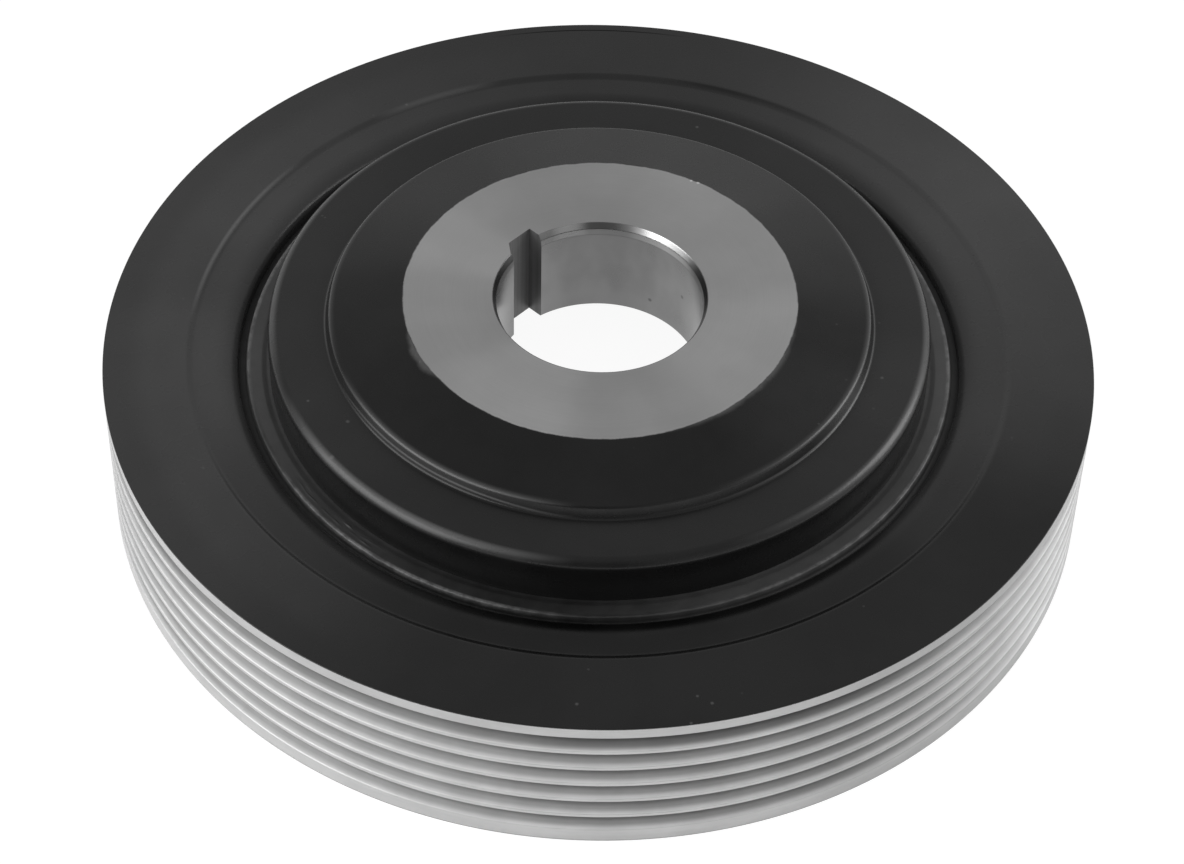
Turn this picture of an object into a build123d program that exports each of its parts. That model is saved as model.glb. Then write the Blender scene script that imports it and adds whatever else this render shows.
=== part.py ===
from build123d import *
import os
from math import radians, tan

# Harmonic balancer (crankshaft damper) with a ribbed belt rim, in millimetres.
#
# Three pieces share one axis, +Z:
#   hub          cast and turned: bored boss, cone, flange, web and rim
#   rubber_ring  bonded between the hub's rim and the pulley ring
#   pulley_ring  iron inertia ring, with six poly-V belt grooves in its outside
#
# The origin is at the centre of the pulley ring's rear face. +Z points out of
# the front, where the bolt's head seats, and the hub's keyway points along +Y.

# --- Pulley ring -----------------------------------------------------------
ring_radius = 75.0  # outside of the belt rim
ring_width = 25.5  # rear face to front face
face_step_radius = 62.4  # the front face steps down inside this radius
face_step_drop = 0.4
face_step_run = 0.8  # width of the step's slope
mouth_width = 1.6  # chamfer that leads down to the rubber
mouth_height = 1.6

# Belt grooves, to the PK profile
groove_count = 6
groove_pitch = 3.56
groove_opening = 2.9  # across a groove's mouth
groove_depth = 3.0
groove_angle = 40.0  # between its flanks
front_land = 2.1  # plain land from the front face to the first groove

# --- Rubber ring -----------------------------------------------------------
rubber_thickness = 4.8
rubber_rear_recess = 2.5  # in from the pulley ring's rear face
bead_recess = 1.7  # top of the moulded bead, below the ring's front face
bead_width = 1.9  # flat top of the bead
hub_gutter_width = 1.3  # valley between the hub's rim and the bead
hub_gutter_depth = 0.45  # below the bead's top
ring_gutter_depth = 1.5  # valley beside the pulley ring, below the bead's top

# --- Hub -------------------------------------------------------------------
rim_radius = 50.0  # outside of the rim, which the rubber is bonded to
rim_wall = 8.0
rim_rear_recess = 1.0  # in from the pulley ring's rear face

flange_rise = 5.65  # flange above the pulley ring's front face
flange_width = 8.6  # from the rim's outside in to the foot of the cone
cone_step = 1.8  # height of the cone's lower edge above the flange
cone_step_run = 0.7

boss_radius = 29.7  # machined front face, which the bolt's washer seats on
boss_rise = 9.8  # boss face above the pulley ring's front face
hub_length = 16.9  # bolt face to rear seat, which is the web's flat underside

bore_radius = 15.5
bore_chamfer_width = 0.6
bore_chamfer_height = 1.7
key_width = 6.0
key_floor_radius = 17.8  # from the axis to the keyway's floor


def turned(outline):
    """Solid turned about the axis from a closed outline of (radius, height) points."""
    section = make_face(Polyline(*outline, close=True))
    return revolve(Plane.XZ * section, Axis.Z)


def belt_grooves():
    """Outline of the belt grooves, from the front one to the rear one."""
    half_mouth = groove_opening / 2
    half_root = half_mouth - groove_depth * tan(radians(groove_angle / 2))
    root_radius = ring_radius - groove_depth
    first_centre = ring_width - front_land - half_mouth
    outline = []
    for index in range(groove_count):
        centre = first_centre - index * groove_pitch
        outline += [
            (ring_radius, centre + half_mouth),
            (root_radius, centre + half_root),
            (root_radius, centre - half_root),
            (ring_radius, centre - half_mouth),
        ]
    return outline


def pulley_ring():
    """Inertia ring: bonded bore, stepped front face and ribbed belt rim."""
    inner_radius = rim_radius + rubber_thickness
    step_floor = ring_width - face_step_drop
    front = [
        (inner_radius, 0),
        (inner_radius, step_floor - mouth_height),
        (inner_radius + mouth_width, step_floor),
        (face_step_radius - face_step_run, step_floor),
        (face_step_radius, ring_width),
        (ring_radius, ring_width),
    ]
    rear_corner = [(ring_radius, 0)]
    return turned(front + belt_grooves() + rear_corner)


def rubber_ring():
    """Elastomer ring between the bonded walls, with a moulded bead round its front."""
    outer_radius = rim_radius + rubber_thickness
    bead_top = ring_width - bead_recess
    bead_inside = rim_radius + hub_gutter_width
    return turned(
        [
            (rim_radius, rubber_rear_recess),
            (rim_radius, bead_top - hub_gutter_depth),
            (bead_inside, bead_top),
            (bead_inside + bead_width, bead_top),
            (outer_radius, bead_top - ring_gutter_depth),
            (outer_radius, rubber_rear_recess),
        ]
    )


def hub():
    """Hub: bored boss with a keyway, cone, flange, web and bonded rim."""
    flange_top = ring_width + flange_rise
    cone_foot_radius = rim_radius - flange_width
    boss_top = ring_width + boss_rise
    seat_face = boss_top - hub_length
    rim_inside = rim_radius - rim_wall
    front = [
        (bore_radius, boss_top - bore_chamfer_height),
        (bore_radius + bore_chamfer_width, boss_top),
        (boss_radius, boss_top),
        (cone_foot_radius - cone_step_run, flange_top + cone_step),
        (cone_foot_radius, flange_top),
        (rim_radius, flange_top),
    ]
    rear = [
        (rim_radius, rim_rear_recess),
        (rim_inside, rim_rear_recess),
        (rim_inside, seat_face),
        (bore_radius, seat_face),
    ]
    keyway = Pos(0, key_floor_radius / 2, seat_face + hub_length / 2) * Box(
        key_width, key_floor_radius, hub_length
    )
    return turned(front + rear) - keyway


nodes = {
    "hub": hub(),
    "rubber_ring": rubber_ring(),
    "pulley_ring": pulley_ring(),
}

os.makedirs("parts", exist_ok=True)
for name, solid in nodes.items():
    export_step(solid, f"parts/{name}.step")
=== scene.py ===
from math import cos, exp, pi, radians, sin, tan

import bmesh
import bpy
from mathutils import Matrix, Vector, noise


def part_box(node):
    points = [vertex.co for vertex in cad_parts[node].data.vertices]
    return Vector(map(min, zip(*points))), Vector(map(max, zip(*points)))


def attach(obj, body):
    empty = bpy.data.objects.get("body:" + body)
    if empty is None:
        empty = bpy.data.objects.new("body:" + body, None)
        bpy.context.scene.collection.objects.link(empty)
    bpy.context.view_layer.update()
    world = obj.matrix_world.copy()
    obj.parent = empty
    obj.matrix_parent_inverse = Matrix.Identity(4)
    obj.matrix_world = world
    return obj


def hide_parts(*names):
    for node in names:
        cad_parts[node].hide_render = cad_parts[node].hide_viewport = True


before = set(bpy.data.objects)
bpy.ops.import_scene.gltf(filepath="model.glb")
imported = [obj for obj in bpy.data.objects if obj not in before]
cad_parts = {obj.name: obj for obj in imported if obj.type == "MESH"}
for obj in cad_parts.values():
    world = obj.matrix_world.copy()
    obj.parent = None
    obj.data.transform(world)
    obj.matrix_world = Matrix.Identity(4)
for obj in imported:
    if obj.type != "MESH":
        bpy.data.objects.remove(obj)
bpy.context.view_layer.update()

MM = 0.001

# ---------------------------------------------------------------------------
# Sizes, in millimetres. The driving ones come from model.glb.
# ---------------------------------------------------------------------------
ring_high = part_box("pulley_ring")[1] / MM
rubber_low, rubber_high = (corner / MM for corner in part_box("rubber_ring"))
hub_low, hub_high = (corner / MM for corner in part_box("hub"))

RING_RADIUS = ring_high.x
RING_WIDTH = ring_high.z
RUBBER_RADIUS = rubber_high.x
BEAD_TOP = rubber_high.z
RUBBER_REAR = rubber_low.z
RIM_RADIUS = hub_high.x
RIM_REAR = hub_low.z
BOSS_TOP = hub_high.z

# Pulley ring
FACE_STEP_RADIUS = 62.4
FACE_STEP_DROP = 0.4
FACE_STEP_RUN = 0.8
FACE_STEP_ROUNDING = 0.9
MOUTH_REACH = 3.4  # the mouth is a quarter of an ellipse, this wide
MOUTH_DEPTH = 1.4
RING_BORE_ROUNDING = 0.5
RING_FRONT_ROUNDING = 0.1
RING_REAR_ROUNDING = 0.35
PAINT_OVERLAP = 0.2  # coat that wraps over the ring's front edge
FRONT_LAND = 2.1
GROOVES_TOP = RING_WIDTH - FRONT_LAND
GROOVE_COUNT = 6
GROOVE_PITCH = 3.56
GROOVE_OPENING = 2.9
GROOVE_DEPTH = 3.0
GROOVE_ANGLE = radians(40)
GROOVE_EDGE_ROUNDING = 0.28
GROOVE_ROOT_ROUNDING = 0.3

# Rubber ring
HUB_GUTTER_WIDTH = 1.3
HUB_GUTTER_FLAT = 0.45  # width of the flat strip beside the hub's rim
HUB_GUTTER_SINK = 0.22  # that strip lies this far below the crown
RING_GUTTER_DEPTH = 1.5
BEAD_WIDTH = 1.9
BEAD_INSIDE = RIM_RADIUS + HUB_GUTTER_WIDTH
BEAD_OUTSIDE = BEAD_INSIDE + BEAD_WIDTH  # the bead's nominal edge
BEAD_WALL = 0.5  # from the nominal edge to the foot of the bead's steep side
BEAD_FOOT = 0.5  # height of that foot above the gutter
BEAD_LIP = 0.2  # how far the bead stands past its nominal edge
BEAD_ROUNDING = 0.8
BEAD_LIP_ROUNDING = 0.22
BEAD_FOOT_ROUNDING = 0.4
CROWN_LEAD = 0.1  # the crown starts this much nearer to the hub than the bead
CROWN_MARGIN = 0.25  # width at each side of the crown that has no extra loops
CROWN_STEP = 0.12  # between the loops that carry the flash

# Moulding flash on the rubber's bead
FLASH_HEIGHT = 0.14
CROWN_TOP = BEAD_TOP - FLASH_HEIGHT  # the bead's crown, flash not counted
FLASH_SPREAD = 0.22  # half the width of the line on the bead's shoulder
FLASH_DEPTH = 0.5  # the flash moves points down to this far below the crown,
FLASH_MARGIN = 0.4  # and none that are nearer than this to hub or ring
FLASH_CIRCLE = 52  # radius of the circle on which the noise is read
FEATHERS_AT = 226  # bearing from the camera where flash feathers over the crown
FEATHERS_REACH = radians(11)
FEATHER_COUNT = 2
FEATHER_START = 1.5  # first feather's distance from the hub's rim
FEATHER_GAP = 0.7
FEATHER_SPREAD = 0.15
FEATHER_STRENGTH = 1.8

# Hub
FLANGE_TOP = RING_WIDTH + 5.65
FLANGE_ROUNDING = 1.5
CONE_FOOT_RADIUS = RIM_RADIUS - 8.6
CONE_FOOT_ROUNDING = 0.5
CONE_STEP = 1.8
CONE_STEP_RUN = 0.7
CONE_STEP_ROUNDING = 0.6
RIM_WALL = 8.0
RIM_REAR_ROUNDING = 0.8
WEB_ROUNDING = 2.5
BOSS_RADIUS = 29.7
BOSS_EDGE_ROUNDING = 0.1
HUB_LENGTH = 16.9
SEAT_ROUNDING = 0.2
BORE_RADIUS = 15.5
BORE_CHAMFER_WIDTH = 0.6
BORE_CHAMFER_HEIGHT = 1.7
LEAD_DROP = 0.4  # the lead-in starts this far below that chamfer
LEAD_FOOT = BOSS_TOP - BORE_CHAMFER_HEIGHT - LEAD_DROP
LEAD_KNEE = BOSS_TOP - 0.95  # where its steep slope turns into a bevel
LEAD_STEEP_WIDTH = 0.12
LEAD_ROUNDINGS = (0.5, 0.25, 0.06)  # at its foot, its knee and its top
FACE_START = 0.1  # how far the bore's finish laps onto the bolt face
KEY_WIDTH = 6.0
KEY_FLOOR_RADIUS = 17.8
KEY_CORNER = (1.5, 1.9)  # what is left in one corner of the keyway's floor
CUTTER_MARGIN = 1  # how far the keyway's cutter stands out at each end

# How finely the turned pieces are cut
SECTORS = 320
RUBBER_SECTORS = 800  # finer, for its flash
MOUTH_POINTS = 18
ARC_STEP = radians(14)  # largest turn between two points of a rounding
SUPPORT = 0.12  # distance of the loops that hold a flat beside its rounding
SHARP_ANGLE = radians(35)  # edges that turn more than this are shaded sharp

# ---------------------------------------------------------------------------
# Looks. A bearing is in degrees, anticlockwise as seen from the camera: 0 is
# right, 90 far, 180 left and 270 near.
# ---------------------------------------------------------------------------
VIEW_TURN = radians(-47.3)  # the camera's right-hand side, from +X about +Z

# Amounts by bearing: (bearing, half width, amount)
# Dust, with painted light: these rows make the two sides seen from the camera lighter, where
# the side panels light them
DUST_AND_SIDE_LIGHT = [
    (174.0, 80.0, 0.037),
    (188.0, 16.0, 0.008),
    (16.0, 46.0, 0.034),
    (40.0, 36.0, 0.016),
    (80.0, 44.0, 0.010),
]
# The hub's dust, with painted light on its right and left sides
HUB_DUST_AND_SIDE_LIGHT = [(5.0, 75.0, 0.0105), (182.0, 62.0, 0.0075), (344.0, 14.0, 0.004)]
# Dust and painted light on the hub's cone, by bearing
CONE_DUST_AND_LIGHT = [
    (28.0, 35.0, 0.014),
    (60.0, 26.0, 0.009),
    (150.0, 25.0, 0.009),
    (324.0, 24.0, 0.006),
]
# Painted sheen on the rubber's crown toward the right
RUBBER_SHEEN = [(332.0, 70.0, 0.036)]
BOSS_SCUFFS = [(207.0, 12.0, 1.0), (322.0, 36.0, 0.6)]
# Painted highlights on the hub's edges, by bearing
HUB_EDGE_HIGHLIGHTS = [(234.0, 34.0, 0.10), (350.0, 60.0, 0.08), (165.0, 35.0, 0.06)]
# Painted light (toward the right) and painted shade (near side) on the ring's face inside
# its step
RING_INNER_LIGHT_AND_SHADE = [(334.0, 20.0, 0.020), (268.0, 50.0, -0.012)]
# Where the ring's dust and painted side light are thinned nearer the rubber, a painted shade
RING_DUST_AND_LIGHT_LESS = [(50.0, 65.0, 0.3), (252.0, 65.0, 1.0)]
# Painted light: bright and dark fans on the turned bolt face, by bearing
PAINTED_FACE_FANS = [
    (335.0, 50.0, 1.0),
    (240.0, 36.0, 1.0),
    (155.0, 24.0, 1.0),
    (102.0, 45.0, -0.6),
]
# Painted glints on the bore's lead-in, and painted shade on the bore's far side
LEAD_GLINTS = [(49.0, 27.0, 2.2), (108.0, 12.0, 1.0), (90.0, 80.0, 0.8)]
BORE_SHADE = [(90.0, 38.0, 0.15)]
# Painted highlight along the rubber bead's outer edge, by bearing
BEAD_EDGE_HIGHLIGHTS = [(350.0, 75.0, 1.0), (236.0, 34.0, 1.4), (160.0, 40.0, 1.0)]

# Painted glints (positive amounts) and painted shade (negative amount) along
# the step in the ring's face, radius and reach in millimetres:
# (bearing, half width, radius, reach, amount)
STEP_GLINTS_AND_SHADE = [
    (159.0, 20.0, 62.3, 0.5, 0.080),
    (116.5, 11.0, 62.2, 0.8, 0.038),
    (16.0, 60.0, 62.0, 0.8, 0.010),
    (66.0, 16.0, 62.4, 0.8, -0.014),
]

# Small marks, in millimetres: (x, y, z, radius)
RING_SPECKS = [
    (-53.2, -46.5, RING_WIDTH, 0.35),
    (-40.5, -57.4, RING_WIDTH, 0.3),
    (-40.0, -59.7, RING_WIDTH, 0.35),
    (-44.6, -60.0, RING_WIDTH, 0.3),
    (17.5, 60.0, RING_WIDTH, 0.3),
]
HUB_SPECKS = [
    (-48.4, 7.4, FLANGE_TOP, 0.5),
    (13.5, -35.0, FLANGE_TOP + 2.2, 0.35),
    (19.9, -38.9, FLANGE_TOP, 0.35),
    (-43.1, 18.1, FLANGE_TOP, 0.3),
    (-41.9, 10.9, FLANGE_TOP, 0.4),
    (41.9, 18.5, FLANGE_TOP, 0.35),
]
BOSS_NICK = [(28.8, 6.5, BOSS_TOP, 0.35), (28.4, 7.6, BOSS_TOP, 0.3)]
BORE_PITS = [(15.1, 3.4, 21.6, 0.45), (15.2, -3.1, 26.6, 0.45)]
BELT_MARKS = [(-51.4, -54.0, 4.0, 0.35)]

HUB_BLACK = 0.007
RING_BLACK = 0.0065
CONE_DARKER = 0.0035  # how much darker than the flange the bare cone is
DARKEST = 0.001  # no coat is darker than this
PAINT_COLOUR = (0.012, 0.012, 0.012, 1)  # coat that laps onto the bolt face
BUMP_DEPTH = 0.1  # millimetres


# ---------------------------------------------------------------------------
# Small helpers
# ---------------------------------------------------------------------------
def add_object(name, data):
    made = bpy.data.objects.new(name, data)
    bpy.context.scene.collection.objects.link(made)
    return made


def view_point(right, ahead, up):
    """World place of a point given along the camera's level axes, from the part's centre."""
    spot = Matrix.Rotation(VIEW_TURN, 3, "Z") @ Vector((right, ahead, 0))
    return Vector((spot.x, spot.y, up))


class Tree:
    """Builds the nodes of a material or a world. Its methods return node outputs."""

    def __init__(self, owner):
        owner.use_nodes = True
        self.owner = owner
        self.nodes = owner.node_tree.nodes
        self.links = owner.node_tree.links
        self.shader = self.nodes.get("Principled BSDF")

    def node(self, kind, **settings):
        made = self.nodes.new(kind)
        for key, value in settings.items():
            setattr(made, key, value)
        return made

    def put(self, target, value):
        """Links an output, or writes a plain value."""
        if isinstance(value, bpy.types.NodeSocket):
            self.links.new(value, target)
        else:
            target.default_value = value

    def set(self, **values):
        """Fills inputs of the shader and returns the material."""
        for key, value in values.items():
            self.put(self.shader.inputs[key.replace("_", " ")], value)
        return self.owner

    def math(self, operation, a, b=0.0, clamp=False):
        made = self.node("ShaderNodeMath", operation=operation, use_clamp=clamp)
        self.put(made.inputs[0], a)
        self.put(made.inputs[1], b)
        return made.outputs[0]

    def chain(self, operation, values):
        total, *others = values
        for value in others:
            total = self.math(operation, total, value)
        return total

    def add(self, *values):
        return self.chain("ADD", values)

    def times(self, *values):
        return self.chain("MULTIPLY", values)

    def most(self, *values):
        return self.chain("MAXIMUM", values)

    def less(self, a, b):
        return self.math("SUBTRACT", a, b)

    def ramp(self, value, low, high, at_low=0.0, at_high=1.0):
        """Smooth change from at_low to at_high as value goes from low to high."""
        made = self.node("ShaderNodeMapRange", interpolation_type="SMOOTHSTEP")
        self.put(made.inputs["Value"], value)
        made.inputs["From Min"].default_value = low
        made.inputs["From Max"].default_value = high
        made.inputs["To Min"].default_value = at_low
        made.inputs["To Max"].default_value = at_high
        return made.outputs["Result"]

    def ramp_mm(self, value, low, high, at_low=0.0, at_high=1.0):
        """A ramp over a length, with low and high in millimetres."""
        return self.ramp(value, low * MM, high * MM, at_low, at_high)

    def fall(self, value, least):
        """Smooth change from 1 to least as value goes from 0 to 1."""
        return self.ramp(value, 0.0, 1.0, 1.0, least)

    def line(self, value, middle, half_width, core=0.0):
        """1 within core of middle, fading to 0 half_width away, all in millimetres."""
        apart = self.math("ABSOLUTE", self.less(value, middle * MM))
        return self.ramp_mm(apart, core, half_width, 1.0, 0.0)

    def position(self):
        """The shaded point in the object's own coordinates, in metres."""
        return self.node("ShaderNodeTexCoord").outputs["Object"]

    def axes(self):
        """(x, y, z) of the shaded point, in metres."""
        made = self.node("ShaderNodeSeparateXYZ")
        self.put(made.inputs[0], self.position())
        return made.outputs

    def height(self):
        """Height of the shaded point, in metres."""
        return self.axes()[2]

    def radius(self):
        """Distance of the shaded point from the axis, in metres."""
        x, y, _ = self.axes()
        square = self.add(self.times(x, x), self.times(y, y))
        return self.math("SQRT", square)

    def sector(self, bearing, half_width):
        """1 at a bearing seen from the camera, fading to 0 half_width degrees away."""
        x, y, _ = self.axes()
        angle = radians(bearing) + VIEW_TURN
        along = self.add(self.times(x, cos(angle)), self.times(y, sin(angle)))
        cosine = self.math("DIVIDE", along, self.radius())
        return self.ramp(cosine, cos(radians(half_width)), 1.0)

    def by_bearing(self, rows):
        """Sum of sectors, each times its own amount: (bearing, half width, amount)."""
        parts = []
        for bearing, half_width, amount in rows:
            parts.append(self.times(self.sector(bearing, half_width), amount))
        return self.add(*parts)

    def fans(self, rows):
        """Like by_bearing, but with the soft outer edges of light on turned metal."""
        parts = []
        for bearing, half_width, amount in rows:
            level = self.sector(bearing, half_width)
            soft = self.times(level, self.times(level, level))
            parts.append(self.times(soft, amount))
        return self.add(*parts)

    def noise(self, scale, detail=3.0, rough=0.5, vector=None):
        made = self.node("ShaderNodeTexNoise")
        self.put(made.inputs["Vector"], vector or self.position())
        made.inputs["Scale"].default_value = scale
        made.inputs["Detail"].default_value = detail
        made.inputs["Roughness"].default_value = rough
        return made.outputs["Fac"]

    def grain(self, around, out, up, detail=2.0, rough=0.6):
        """Noise in angle, radius and height, each with its own scale."""
        x, y, z = self.axes()
        turned = self.node("ShaderNodeCombineXYZ")
        self.put(turned.inputs[0], self.times(self.math("ARCTAN2", y, x), around))
        self.put(turned.inputs[1], self.times(self.radius(), out))
        self.put(turned.inputs[2], self.times(z, up))
        return self.noise(1.0, detail, rough, turned.outputs[0])

    def vary(self, pattern, low, high, span=0.2):
        """Turns a noise, which mostly lies within span of 0.5, into low to high."""
        return self.ramp(pattern, 0.5 - span, 0.5 + span, low, high)

    def specks(self, scale, share, size):
        """Sparse round spots: 1 inside a spot, 0 outside."""
        cells = self.node("ShaderNodeTexVoronoi")
        self.put(cells.inputs["Vector"], self.position())
        cells.inputs["Scale"].default_value = scale
        near = self.ramp(cells.outputs["Distance"], size * 0.6, size, 1.0, 0.0)
        chosen = self.node("ShaderNodeSeparateColor")
        self.put(chosen.inputs[0], cells.outputs["Color"])
        picked = self.math("GREATER_THAN", chosen.outputs[0], 1.0 - share)
        return self.times(near, picked)

    def spots(self, marks):
        """1 inside any of the marks, 0 outside."""
        parts = []
        for x, y, z, size in marks:
            apart = self.node("ShaderNodeVectorMath", operation="DISTANCE")
            self.put(apart.inputs[0], self.position())
            apart.inputs[1].default_value = Vector((x, y, z)) * MM
            distance = apart.outputs["Value"]
            parts.append(self.ramp_mm(distance, size * 0.3, size, 1.0, 0.0))
        return self.most(*parts)

    def mix(self, factor, first, second):
        made = self.node("ShaderNodeMix", data_type="RGBA")
        self.put(made.inputs["Factor"], factor)
        self.put(made.inputs["A"], first)
        self.put(made.inputs["B"], second)
        return made.outputs["Result"]

    def grey(self, value):
        """A grey from a 0 to 1 output."""
        made = self.node("ShaderNodeCombineColor")
        for socket in made.inputs:
            self.put(socket, value)
        return made.outputs[0]

    def bump(self, pattern, strength):
        made = self.node("ShaderNodeBump")
        made.inputs["Strength"].default_value = strength
        made.inputs["Distance"].default_value = BUMP_DEPTH * MM
        self.put(made.inputs["Height"], pattern)
        self.put(self.shader.inputs["Normal"], made.outputs[0])


# ---------------------------------------------------------------------------
# Materials
# ---------------------------------------------------------------------------
def black_coat(name, base, specks):
    """Satin black coating over iron: faint orange peel, mottling, dust and chips."""
    tree = Tree(bpy.data.materials.new(name))
    mottle = tree.vary(tree.noise(90.0), base, base * 1.35)
    dust = tree.times(tree.specks(420.0, 0.05, 0.1), 0.02)
    chips = tree.times(tree.spots(specks), 0.05)
    colour = tree.add(mottle, tree.add(dust, chips))
    tree.bump(tree.noise(2600.0, 2.0), 0.05)
    tree.set(Roughness=tree.vary(tree.noise(260.0), 0.25, 0.30), IOR=1.5)
    return tree, colour


def dust_and_side_light(tree, rows=DUST_AND_SIDE_LIGHT, depth=1.0):
    """Thin, patchy dust with painted light by bearing: by default the pulley ring's, lighter
    on its two sides as seen from the camera.
    """
    patchy = tree.vary(tree.noise(34.0), depth * 0.85, depth * 1.15, 0.25)
    return tree.times(tree.by_bearing(rows), patchy)


def boss_scuffs(tree):
    """Bare metal just outside the bolt face, at two bearings."""
    ragged = tree.ramp(tree.noise(300.0, 4.0), 0.3, 0.6, 0.65, 1.15)
    reach = tree.times(tree.by_bearing(BOSS_SCUFFS), 1.1 * MM, ragged)
    outside = tree.less(tree.radius(), BOSS_RADIUS * MM)
    return tree.ramp_mm(tree.less(reach, outside), -0.2, 0.9, 0.0, 0.07)


def painted_edge_highlights(tree):
    """Painted highlights on edges: the flange's rim, the cone's foot and the top of its
    step.
    """
    radius, height = tree.radius(), tree.height()
    near_top = tree.ramp_mm(height, FLANGE_TOP - 1.2, FLANGE_TOP - 0.6)
    rim = tree.times(tree.line(radius, RIM_RADIUS - 0.8, 0.8), near_top)
    on_cone = tree.ramp_mm(radius, CONE_FOOT_RADIUS, CONE_FOOT_RADIUS + 0.3, 1.0, 0.0)
    raised = tree.times(tree.sector(231.0, 34.0), 0.55 * MM)
    foot = tree.line(tree.less(height, raised), FLANGE_TOP + 0.2, 0.25)
    step = tree.line(height, FLANGE_TOP + CONE_STEP - 0.05, 0.25)
    lit_edges = tree.most(rim, tree.times(foot, on_cone), step)
    return tree.times(lit_edges, tree.by_bearing(HUB_EDGE_HIGHLIGHTS))


def hub_coating():
    """The hub's coat: scuffed, with painted highlights on its edges, dusty with painted side
    light, in its own way on the cone.
    """
    tree, colour = black_coat("hub_coat", HUB_BLACK, HUB_SPECKS)
    cone = tree.ramp_mm(tree.height(), FLANGE_TOP + 1.5, FLANGE_TOP + 2.0)
    # Dust and painted light on the cone, made darker than the flange overall
    cone_dust_and_light = tree.less(dust_and_side_light(tree, CONE_DUST_AND_LIGHT), CONE_DARKER)
    thinned = tree.less(1.0, tree.times(cone, 0.6))
    colour = tree.add(
        colour,
        boss_scuffs(tree),
        painted_edge_highlights(tree),
        tree.times(cone, cone_dust_and_light),
        tree.times(dust_and_side_light(tree, HUB_DUST_AND_SIDE_LIGHT), thinned),
    )
    return tree.set(Base_Color=tree.grey(colour))


def ring_dust_and_light(tree, radius, inner):
    """Dust and painted side light on the ring's face, with less of both nearer the rubber at
    two bearings and near the outer edge.
    """
    outer = tree.ramp_mm(radius, RING_RADIUS - 7.5, RING_RADIUS - 2.5, 0.0, 0.25)
    outer = tree.times(tree.less(1.0, tree.sector(40.0, 70.0)), outer)
    dimmed = tree.add(tree.times(inner, tree.by_bearing(RING_DUST_AND_LIGHT_LESS)), outer)
    return tree.times(dust_and_side_light(tree), tree.less(1.0, dimmed))


def ring_coating():
    """The pulley ring's coat, under a thin film of dust with painted side light, with
    painted glints and shade along its step.
    """
    tree, colour = black_coat("ring_coat", RING_BLACK, RING_SPECKS)
    radius = tree.radius()
    inner = tree.ramp_mm(
        radius, FACE_STEP_RADIUS - 1.4, FACE_STEP_RADIUS + 0.2, 0.5, 0.0
    )
    # Painted light and shade on the inner zone, by bearing
    inner_light_and_shade = tree.times(inner, tree.by_bearing(RING_INNER_LIGHT_AND_SHADE))
    colour = tree.most(tree.add(colour, inner_light_and_shade), DARKEST)
    colour = tree.add(colour, ring_dust_and_light(tree, radius, inner))
    # Painted glints and shade along the step
    for bearing, half_width, middle, reach, amount in STEP_GLINTS_AND_SHADE:
        step_light = tree.times(tree.line(radius, middle, reach), amount)
        colour = tree.add(colour, tree.times(step_light, tree.sector(bearing, half_width)))
    far_edge = tree.times(
        tree.line(radius, RING_RADIUS - 1.5, 0.2), tree.sector(92.0, 14.0)
    )
    kept = tree.less(1.0, tree.times(far_edge, 0.9))
    colour = tree.most(tree.times(colour, kept), DARKEST)
    shine = tree.times(kept, 0.5)
    return tree.set(Base_Color=tree.grey(colour), Specular_IOR_Level=shine)


def turned_face():
    """Bare turned iron of the bolt face, with a ragged line of paint at its edge."""
    tree = Tree(bpy.data.materials.new("turned_face"))
    radius = tree.radius()
    rings = tree.grain(0.6, 5200.0, 0.0)
    tone = tree.times(
        tree.vary(rings, 0.555, 0.575, 0.25),
        tree.vary(tree.grain(1.6, 25.0, 0.0, rough=0.5), 0.97, 1.03),
        # painted fans of light and shade
        tree.ramp(tree.fans(PAINTED_FACE_FANS), -1.0, 1.0, 0.88, 1.12),
        tree.ramp_mm(radius, 16.0, 27.0, 0.96, 1.01),
        tree.vary(tree.noise(120.0), 0.97, 1.03),
    )
    ragged = tree.vary(tree.noise(350.0, 4.0, 0.6), 0.0, 0.16 * MM)
    paint = tree.ramp_mm(tree.add(radius, ragged), BOSS_RADIUS - 0.2, BOSS_RADIUS + 0.1)
    nick = tree.spots(BOSS_NICK)
    paint = tree.math("SUBTRACT", paint, nick, clamp=True)
    tone = tree.add(tone, tree.times(nick, 0.4))
    tangent = tree.node("ShaderNodeTangent", direction_type="RADIAL", axis="Z")
    return tree.set(
        Base_Color=tree.mix(paint, tree.grey(tone), PAINT_COLOUR),
        Roughness=tree.vary(rings, 0.31, 0.35, 0.25),
        Metallic=tree.less(1.0, paint),
        Anisotropic=0.5,
        Tangent=tangent.outputs[0],
    )


def bore_wall():
    """Bare bore and its lead-in: darker and smoother than the bolt face, with painted glints
    on the lead-in and painted shade on the far side.
    """
    tree = Tree(bpy.data.materials.new("bore_wall"))
    cloud = tree.grain(3.0, 0.0, 130.0, rough=0.45)
    tone = tree.vary(cloud, 0.195, 0.235)
    tone = tree.less(tone, tree.times(tree.spots(BORE_PITS), 0.11))
    height = tree.height()
    steep = tree.ramp_mm(height, LEAD_FOOT, LEAD_FOOT + 0.3, 0.0, 0.45)
    bevel = tree.ramp_mm(height, LEAD_KNEE - 0.25, LEAD_KNEE + 0.1, 0.0, 0.55)
    # Painted glints on the lead-in's steep part and bevel, by bearing; BORE_SHADE is painted
    # shade on the far side
    glints = tree.times(tree.add(steep, bevel), tree.by_bearing(LEAD_GLINTS))
    bright = tree.less(tree.add(1.0, glints), tree.by_bearing(BORE_SHADE))
    tone = tree.math("MINIMUM", tree.times(tone, bright), 0.9)
    return tree.set(
        Base_Color=tree.grey(tone), Roughness=tree.vary(cloud, 0.27, 0.30), Metallic=1.0
    )


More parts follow.
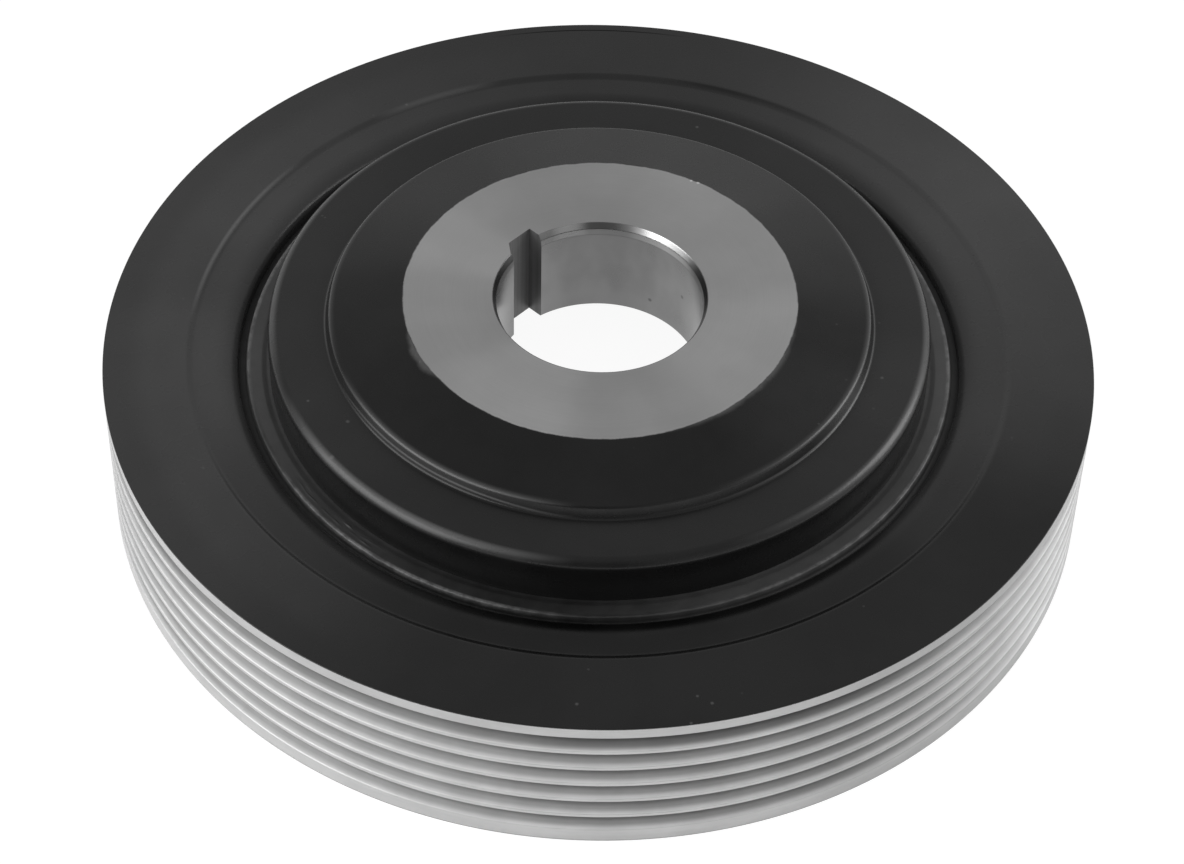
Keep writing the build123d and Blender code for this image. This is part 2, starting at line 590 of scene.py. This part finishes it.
def key_wall():
    """Broached keyway: duller and darker than the bore."""
    tree = Tree(bpy.data.materials.new("key_wall"))
    colour = tree.vary(tree.grain(90.0, 2500.0, 20.0), 0.16, 0.22)
    return tree.set(Base_Color=tree.grey(colour), Roughness=0.5, Metallic=0.5)


def groove_shade(tree, radius, land, right, left):
    """Painted shade: darker with depth in the grooves, most of all in the first one, with a
    painted highlight toward the crests and less contrast toward the two lit sides.
    """
    crest = 1.2  # tone that stays as it is where the grooves are less dark
    depth = tree.times(
        tree.ramp_mm(radius, RING_RADIUS - 2.1, RING_RADIUS - 1.0, 0.44, 0.72),
        tree.ramp_mm(radius, RING_RADIUS - 0.9, RING_RADIUS - 0.15, 1.0, 1.75),
    )
    below = tree.less(GROOVES_TOP * MM, tree.height())
    first = tree.ramp_mm(below, GROOVE_OPENING - 0.3, GROOVE_OPENING + 0.05, 0.66, 1.0)
    depth = tree.times(depth, tree.most(first, land))
    even = tree.times(tree.fall(right, 0.45), tree.fall(left, 0.75))
    return tree.add(tree.times(tree.less(depth, crest), even), crest)


def belt_steel():
    """Bare turned belt rim: fine marks round it, dull from wear, with painted shade in the
    grooves, toward the sides and low on the near side.
    """
    tree = Tree(bpy.data.materials.new("belt_steel"))
    radius, height = tree.radius(), tree.height()
    land = tree.ramp_mm(height, GROOVES_TOP - 0.2, GROOVES_TOP + 0.1)
    right = tree.sector(345.0, 55.0)
    left = tree.sector(238.0, 36.0)
    # Painted shadow low down on the near side
    foot = tree.ramp_mm(height, 0.0, 3.5, 0.15, 0.0)
    marks = tree.grain(1.5, 0.0, 9000.0)
    # Painted shade: darker deep in the grooves, toward the right, left and near right, on
    # the front land and at the outermost radius; painted highlight near the crests
    tone = tree.times(
        tree.vary(marks, 0.63, 0.68, 0.25),
        groove_shade(tree, radius, land, right, left),
        tree.fall(right, 0.90),
        tree.fall(left, 0.96),
        tree.fall(tree.sector(312.0, 26.0), 0.86),
        tree.fall(land, 0.91),
        tree.less(1.0, tree.times(foot, tree.sector(290.0, 45.0))),
        tree.ramp_mm(radius, RING_RADIUS - 0.1, RING_RADIUS - 0.02, 1.0, 0.74),
        tree.vary(tree.grain(9.0, 0.0, 300.0, detail=3.0), 0.94, 1.04),
    )
    tone = tree.less(tone, tree.times(tree.spots(BELT_MARKS), 0.3))
    rough = tree.vary(marks, 0.38, 0.46, 0.25)
    return tree.set(Base_Color=tree.grey(tone), Roughness=rough, Metallic=0.4)


def moulded_rubber():
    """Satin black rubber with a faint mould texture and dust, with painted side light and
    sheen, a painted highlight along its edge and painted shade in its gutter.
    """
    tree = Tree(bpy.data.materials.new("moulded_rubber"))
    radius = tree.radius()
    ragged = tree.vary(tree.noise(500.0, 4.0, 0.7), 0.3, 1.0, 0.15)
    # Painted highlight along the bead's outer edge
    edge_light = tree.times(tree.by_bearing(BEAD_EDGE_HIGHLIGHTS), ragged)
    lit_edges = tree.times(tree.line(radius, BEAD_OUTSIDE, 0.5, core=0.1), edge_light)
    colour = tree.add(
        tree.vary(tree.noise(400.0), 0.012, 0.02),
        dust_and_side_light(tree, depth=0.95),
        tree.by_bearing(RUBBER_SHEEN),
        tree.times(lit_edges, 0.12),
    )
    # Painted shade in the gutter outside the bead: darker and less shiny low down
    outside = tree.ramp_mm(radius, BEAD_OUTSIDE + 0.1, BEAD_OUTSIDE + 0.3)
    low = tree.ramp_mm(tree.height(), BEAD_TOP - 0.9, BEAD_TOP - 0.35, 1.0, 0.0)
    gutter_shade = tree.times(outside, low)
    tree.bump(tree.noise(1800.0), 0.12)
    return tree.set(
        Base_Color=tree.grey(tree.times(colour, tree.fall(gutter_shade, 0.8))),
        Roughness=0.42,
        IOR=1.5,
        Specular_IOR_Level=tree.ramp(gutter_shade, 0.0, 1.0, 0.5, 0.2),
    )


# ---------------------------------------------------------------------------
# Turned pieces
# ---------------------------------------------------------------------------
def corner_arms(corners, index):
    """A corner's place and the ways from it to the corners before and after it."""
    here, before, after = (
        Vector(corners[each % len(corners)][:2]) for each in (index, index - 1, index + 1)
    )
    return here, before - here, after - here


def corner_reach(corners, index):
    """How far a corner's rounding runs along its two edges."""
    here, before, after = corner_arms(corners, index)
    rounding = corners[index][2]
    return rounding / tan(before.angle(after) / 2) if rounding else 0.0


def arc_points(here, into, out, rounding, reach):
    """Points of a corner's rounding, between its edges along unit vectors into and out."""
    half = into.angle(out) / 2
    start, end = here + into * reach, here + out * reach
    centre = here + (into + out).normalized() * rounding / sin(half)
    turn = pi - 2 * half
    steps = max(2, int(turn / ARC_STEP) + 1)
    first, last = start - centre, end - centre
    side = 1 if first.x * last.y > first.y * last.x else -1
    points = []
    for step in range(steps + 1):
        swing = Matrix.Rotation(side * turn * step / steps, 2)
        points.append(centre + swing @ first)
    return points


def rounded_outline(corners):
    """Points of a closed outline, as (radius, height, finish).

    A corner is (radius, height, rounding, finish): the finish is that of the
    surface from this corner on, its own rounding included.
    """
    count = len(corners)
    reaches = [corner_reach(corners, index) for index in range(count)]
    outline = []
    for index, (_, _, rounding, finish) in enumerate(corners):
        here, before, after = corner_arms(corners, index)
        reach = reaches[index]
        into, out = before.normalized(), after.normalized()
        free_before = before.length - reach - reaches[index - 1]
        free_after = after.length - reach - reaches[(index + 1) % count]
        hold_before = min(SUPPORT, free_before * 0.3)
        hold_after = min(SUPPORT, free_after * 0.3)
        outline.append((here + into * (reach + hold_before), corners[index - 1][3]))
        if rounding:
            points = arc_points(here, into, out, rounding, reach)
        else:
            points = [here]
        outline += [(point, finish) for point in points]
        outline.append((here + out * (reach + hold_after), finish))
    return [(point.x, point.y, finish) for point, finish in outline]


def lathe(name, corners, materials, shape=None, sectors=SECTORS):
    """Closed solid of revolution about Z, with one material slot per finish.

    shape, if given, takes (angle, radius, height) and returns (radius, height).
    """
    outline = rounded_outline(corners)
    finishes = list(materials)
    mesh = bpy.data.meshes.new(name)
    for finish in finishes:
        mesh.materials.append(materials[finish])
    build = bmesh.new()
    columns = []
    for sector in range(sectors):
        angle = 2 * pi * sector / sectors
        column = []
        for radius, height, _ in outline:
            if shape:
                radius, height = shape(angle, radius, height)
            place = Vector((radius * cos(angle), radius * sin(angle), height))
            column.append(build.verts.new(place * MM))
        columns.append(column)
    count = len(outline)
    for sector, column in enumerate(columns):
        beside = columns[(sector + 1) % sectors]
        for row in range(count):
            below = (row + 1) % count
            face = build.faces.new(
                (column[row], beside[row], beside[below], column[below])
            )
            face.material_index = finishes.index(outline[row][2])
            face.smooth = True
    bmesh.ops.recalc_face_normals(build, faces=build.faces)
    build.to_mesh(mesh)
    build.free()
    mesh.set_sharp_from_angle(angle=SHARP_ANGLE)
    return add_object(name, mesh)


def mouth(floor):
    """The pulley ring's mouth: steep at the rubber, easing out into the face."""
    points = []
    for index in range(MOUTH_POINTS + 1):
        turn = pi / 2 * index / MOUTH_POINTS
        radius = RUBBER_RADIUS + MOUTH_REACH * (1 - cos(turn))
        height = floor - MOUTH_DEPTH * (1 - sin(turn))
        points.append((radius, height, 0, "coat"))
    return points


def belt_grooves():
    """Corners of the belt rim, groove by groove from the front."""
    half_mouth = GROOVE_OPENING / 2
    half_root = half_mouth - GROOVE_DEPTH * tan(GROOVE_ANGLE / 2)
    root_radius = RING_RADIUS - GROOVE_DEPTH
    corners = []
    for index in range(GROOVE_COUNT):
        centre = GROOVES_TOP - half_mouth - index * GROOVE_PITCH
        corners += [
            (RING_RADIUS, centre + half_mouth, GROOVE_EDGE_ROUNDING, "steel"),
            (root_radius, centre + half_root, GROOVE_ROOT_ROUNDING, "steel"),
            (root_radius, centre - half_root, GROOVE_ROOT_ROUNDING, "steel"),
            (RING_RADIUS, centre - half_mouth, GROOVE_EDGE_ROUNDING, "steel"),
        ]
    return corners


def build_pulley_ring():
    floor = RING_WIDTH - FACE_STEP_DROP
    corners = [
        (RUBBER_RADIUS, 0, RING_BORE_ROUNDING, "coat"),
        *mouth(floor),
        (FACE_STEP_RADIUS - FACE_STEP_RUN, floor, FACE_STEP_ROUNDING, "coat"),
        (FACE_STEP_RADIUS, RING_WIDTH, FACE_STEP_ROUNDING, "coat"),
        (RING_RADIUS, RING_WIDTH, RING_FRONT_ROUNDING, "coat"),
        (RING_RADIUS, RING_WIDTH - PAINT_OVERLAP, 0, "steel"),
        *belt_grooves(),
        (RING_RADIUS, 0, RING_REAR_ROUNDING, "coat"),
    ]
    materials = {"coat": ring_coat, "steel": steel}
    return lathe("pulley_ring_finish", corners, materials)


def bell(offset, spread):
    """1 at no offset, falling off to 0 over about two spreads."""
    return exp(-((offset / spread) ** 2))


def flash_ridge(angle, radius, height):
    """Moulding flash: a ragged ridge on the bead's outer shoulder, feathers on its crown."""
    inside = RIM_RADIUS + FLASH_MARGIN < radius < RUBBER_RADIUS - FLASH_MARGIN
    if height < CROWN_TOP - FLASH_DEPTH or not inside:
        return radius, height
    around = Vector((cos(angle), sin(angle), 0)) * FLASH_CIRCLE
    ragged = 0.5 + 0.5 * noise.noise(around * 0.9) + 0.35 * noise.noise(around * 3)
    wander = 0.08 * noise.noise(around * 0.25)
    lift = ragged * bell(radius - BEAD_OUTSIDE - wander, FLASH_SPREAD)
    swing = (angle - radians(FEATHERS_AT) - VIEW_TURN + pi) % (2 * pi) - pi
    patch = FEATHER_STRENGTH * bell(swing, FEATHERS_REACH)
    for row in range(FEATHER_COUNT):  # each row reads the noise at a place of its own
        wave = 0.3 * noise.noise(around * 0.35 + Vector((row * 9, 4, 2)))
        middle = RIM_RADIUS + FEATHER_START + FEATHER_GAP * row + wave
        fade = max(0.0, noise.noise(around * 0.5 + Vector((2, row * 7, 5))) + 0.1)
        lift += patch * fade * bell(radius - middle, FEATHER_SPREAD)
    return radius, height + FLASH_HEIGHT * min(1.0, max(0.0, lift))


def build_rubber_ring():
    gutter = BEAD_TOP - RING_GUTTER_DEPTH
    strip = CROWN_TOP - HUB_GUTTER_SINK
    first_loop = BEAD_INSIDE + CROWN_MARGIN
    loops = int((BEAD_OUTSIDE - BEAD_INSIDE - 2 * CROWN_MARGIN) / CROWN_STEP)
    corners = [
        (RIM_RADIUS, RUBBER_REAR, 0, "rubber"),
        (RIM_RADIUS, strip, 0, "rubber"),
        (RIM_RADIUS + HUB_GUTTER_FLAT, strip, BEAD_ROUNDING, "rubber"),
        (BEAD_INSIDE - CROWN_LEAD, CROWN_TOP, BEAD_ROUNDING, "rubber"),
        *((first_loop + CROWN_STEP * loop, CROWN_TOP, 0, "rubber") for loop in range(loops)),
        (BEAD_OUTSIDE + BEAD_LIP, CROWN_TOP, BEAD_LIP_ROUNDING, "rubber"),
        (BEAD_OUTSIDE + BEAD_WALL, gutter + BEAD_FOOT, BEAD_FOOT_ROUNDING, "rubber"),
        (RUBBER_RADIUS, gutter, 0, "rubber"),
        (RUBBER_RADIUS, RUBBER_REAR, 0, "rubber"),
    ]
    materials = {"rubber": rubber}
    return lathe("rubber_ring_finish", corners, materials, flash_ridge, RUBBER_SECTORS)


def bore_lead():
    """Lead-in from the bore up to the bolt face: steep, then a wider bevel."""
    foot, knee, top = LEAD_ROUNDINGS
    return [
        (BORE_RADIUS, LEAD_FOOT, foot, "bore"),
        (BORE_RADIUS + LEAD_STEEP_WIDTH, LEAD_KNEE, knee, "bore"),
        (BORE_RADIUS + BORE_CHAMFER_WIDTH, BOSS_TOP, top, "bore"),
    ]


def build_hub():
    seat = BOSS_TOP - HUB_LENGTH
    rim_inside = RIM_RADIUS - RIM_WALL
    step_radius = CONE_FOOT_RADIUS - CONE_STEP_RUN
    corners = [
        (BORE_RADIUS, seat, SEAT_ROUNDING, "bore"),
        *bore_lead(),
        (BORE_RADIUS + BORE_CHAMFER_WIDTH + FACE_START, BOSS_TOP, 0, "face"),
        (BOSS_RADIUS, BOSS_TOP, BOSS_EDGE_ROUNDING, "coat"),
        (step_radius, FLANGE_TOP + CONE_STEP, CONE_STEP_ROUNDING, "coat"),
        (CONE_FOOT_RADIUS, FLANGE_TOP, CONE_FOOT_ROUNDING, "coat"),
        (RIM_RADIUS, FLANGE_TOP, FLANGE_ROUNDING, "coat"),
        (RIM_RADIUS, RIM_REAR, RIM_REAR_ROUNDING, "coat"),
        (rim_inside, RIM_REAR, RIM_REAR_ROUNDING, "coat"),
        (rim_inside, seat, WEB_ROUNDING, "coat"),
    ]
    materials = {"coat": hub_coat, "face": face_metal, "bore": bore_metal}
    piece = lathe("hub_finish", corners, materials)
    cut_keyway(piece, seat)
    return piece


def keyway_cutter(seat):
    """Straight bar along +Y that stands out at both ends of the bore."""
    half = KEY_WIDTH / 2
    outline = [
        (-half, 0),
        (half, 0),
        (half, KEY_FLOOR_RADIUS),
        (-half + KEY_CORNER[0], KEY_FLOOR_RADIUS),
        (-half, KEY_FLOOR_RADIUS - KEY_CORNER[1]),
    ]
    slot = bmesh.new()
    foot = [slot.verts.new(Vector((x, y, seat - CUTTER_MARGIN)) * MM) for x, y in outline]
    profile = slot.faces.new(foot)
    raised = bmesh.ops.extrude_face_region(slot, geom=[profile])["geom"]
    lifted = [item for item in raised if isinstance(item, bmesh.types.BMVert)]
    length = HUB_LENGTH + 2 * CUTTER_MARGIN
    bmesh.ops.translate(slot, vec=(0, 0, length * MM), verts=lifted)
    bmesh.ops.recalc_face_normals(slot, faces=slot.faces)
    mesh = bpy.data.meshes.new("keyway_cutter")
    mesh.materials.append(key_metal)
    slot.to_mesh(mesh)
    slot.free()
    return add_object("keyway_cutter", mesh)


def cut_keyway(piece, seat):
    """Keyway, cut right through, with one corner of its floor left unbroached."""
    cutter = keyway_cutter(seat)
    cut = piece.modifiers.new("keyway", "BOOLEAN")
    cut.operation = "DIFFERENCE"
    cut.solver = "EXACT"
    cut.material_mode = "TRANSFER"
    cut.object = cutter
    bpy.context.view_layer.update()
    finished = piece.evaluated_get(bpy.context.evaluated_depsgraph_get())
    piece.data = bpy.data.meshes.new_from_object(finished)
    piece.modifiers.clear()
    bpy.data.objects.remove(cutter)
    piece.data.set_sharp_from_angle(angle=SHARP_ANGLE)


hub_coat = hub_coating()
ring_coat = ring_coating()
face_metal = turned_face()
bore_metal = bore_wall()
key_metal = key_wall()
steel = belt_steel()
rubber = moulded_rubber()

hub = build_hub()
rubber_ring = build_rubber_ring()
pulley_ring = build_pulley_ring()
for piece, node, slot in (
    (hub, "hub", "coated_hub"),
    (rubber_ring, "rubber_ring", "rubber"),
    (pulley_ring, "pulley_ring", "coated_ring"),
):
    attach(piece, "root")
    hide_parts(node)

# ---------------------------------------------------------------------------
# Camera: the image is 1184 x 864, and lengths are in millimetres
# ---------------------------------------------------------------------------
IMAGE_WIDTH = 1184
FOCAL_PIXELS = 3400
SENSOR = 36.0
VIEW_ELEVATION = radians(46.47)
VIEW_ROLL = radians(1.417)
# Where the centre of the ring's front face lies from the camera
FACE_RIGHT, FACE_DOWN, FACE_AHEAD = 1.072, -13.702, 516.6


def add_camera():
    right = view_point(1, 0, 0)
    ahead = view_point(0, cos(VIEW_ELEVATION), -sin(VIEW_ELEVATION))
    down = ahead.cross(right)
    right, down = (
        right * cos(VIEW_ROLL) - down * sin(VIEW_ROLL),
        right * sin(VIEW_ROLL) + down * cos(VIEW_ROLL),
    )
    face_centre = Vector((0, 0, RING_WIDTH))
    place = face_centre - FACE_RIGHT * right - FACE_DOWN * down - FACE_AHEAD * ahead
    data = bpy.data.cameras.new("camera")
    data.sensor_width = SENSOR
    data.lens = FOCAL_PIXELS / IMAGE_WIDTH * SENSOR
    camera = add_object("camera", data)
    turn = Matrix((right, -down, -ahead)).transposed()
    camera.matrix_world = Matrix.Translation(place * MM) @ turn.to_4x4()
    bpy.context.scene.camera = camera


# ---------------------------------------------------------------------------
# Studio: a light tent over a white floor
# ---------------------------------------------------------------------------
SKY_LOW_AND_HIGH = (0.62, 0.30)  # near the horizon, overhead
SKY_ASIDE = (1.05, 0.75)  # straight ahead, to either side
SKY_BEHIND = (1.0, 0.2)  # in general, in the wedge behind the camera
WEDGE_SLOPE = 2.2  # the higher, the narrower that wedge
FLOOR_HALF = 1.5
FLOOR_GLOW = 1.1
GLOW_SHARE = 0.85  # part of the floor's look, seen directly or mirrored, that is glow

# Soft lamps that face the part, in metres and watts:
# (name, (right, ahead, up), width, height, power, whether the part mirrors it)
PANELS = [
    ("left_panel", (-0.45, -0.19, 0.27), 0.5, 0.42, 1.5, True),
    ("right_panel", (0.48, 0.12, 0.28), 0.22, 0.42, 0.9, True),
    ("front_fill", (0, -0.36, 0.5), 0.5, 0.3, 0.9, False),
]


def add_panel(name, place, width, height, power, mirrored):
    data = bpy.data.lights.new(name, "AREA")
    data.shape = "RECTANGLE"
    data.size = width
    data.size_y = height
    data.energy = power
    lamp = add_object(name, data)
    lamp.location = view_point(*place)
    aim = Vector((0, 0, RING_WIDTH * MM)) - lamp.location
    lamp.rotation_euler = aim.to_track_quat("-Z", "Y").to_euler()
    lamp.visible_glossy = mirrored


def add_world():
    """Tent light by direction: brightest low down ahead, dim overhead and behind."""
    world = bpy.data.worlds.new("tent")
    bpy.context.scene.world = world
    tree = Tree(world)
    direction = tree.node("ShaderNodeTexCoord").outputs["Generated"]

    def along(axis):
        made = tree.node("ShaderNodeVectorMath", operation="DOT_PRODUCT")
        tree.put(made.inputs[0], direction)
        made.inputs[1].default_value = axis
        return made.outputs["Value"]

    height = tree.ramp(along((0, 0, 1)), 0.1, 0.95, *SKY_LOW_AND_HIGH)
    lean = tree.math("ABSOLUTE", along(view_point(1, 0, 0)))
    aside = tree.ramp(lean, 0.05, 0.45, *SKY_ASIDE)
    wedge = tree.less(along(view_point(0, -1, 0)), tree.times(lean, WEDGE_SLOPE))
    behind = tree.ramp(wedge, 0.05, 0.4, *SKY_BEHIND)
    strength = tree.node("ShaderNodeMix", data_type="FLOAT")
    seen = tree.node("ShaderNodeLightPath").outputs["Is Camera Ray"]
    tree.put(strength.inputs["Factor"], seen)
    tree.put(strength.inputs["A"], tree.times(height, aside, behind))
    tree.put(strength.inputs["B"], 1.0)
    background = tree.nodes["Background"]
    background.inputs["Color"].default_value = (1, 1, 1, 1)
    tree.put(background.inputs["Strength"], strength.outputs["Result"])


def add_floor():
    """Pale plain floor that glows white to the camera and keeps the part's shadow."""
    low, high = -FLOOR_HALF, FLOOR_HALF
    corners = [(low, low, 0), (high, low, 0), (high, high, 0), (low, high, 0)]
    mesh = bpy.data.meshes.new("floor")
    mesh.from_pydata(corners, [], [(0, 1, 2, 3)])
    tree = Tree(bpy.data.materials.new("floor"))
    tree.set(Base_Color=(0.9, 0.9, 0.9, 1), Roughness=0.9, Specular_IOR_Level=0.0)
    path = tree.node("ShaderNodeLightPath").outputs
    seen = tree.most(path["Is Camera Ray"], path["Is Glossy Ray"])
    glow = tree.node("ShaderNodeEmission")
    glow.inputs["Strength"].default_value = FLOOR_GLOW
    blend = tree.node("ShaderNodeMixShader")
    tree.put(blend.inputs[0], tree.times(seen, GLOW_SHARE))
    tree.put(blend.inputs[1], tree.shader.outputs[0])
    tree.put(blend.inputs[2], glow.outputs[0])
    tree.put(tree.nodes["Material Output"].inputs["Surface"], blend.outputs[0])
    mesh.materials.append(tree.owner)
    add_object("floor", mesh)


add_camera()
add_world()
add_floor()
for panel in PANELS:
    add_panel(*panel)
bpy.context.scene.view_settings.view_transform = "Standard"
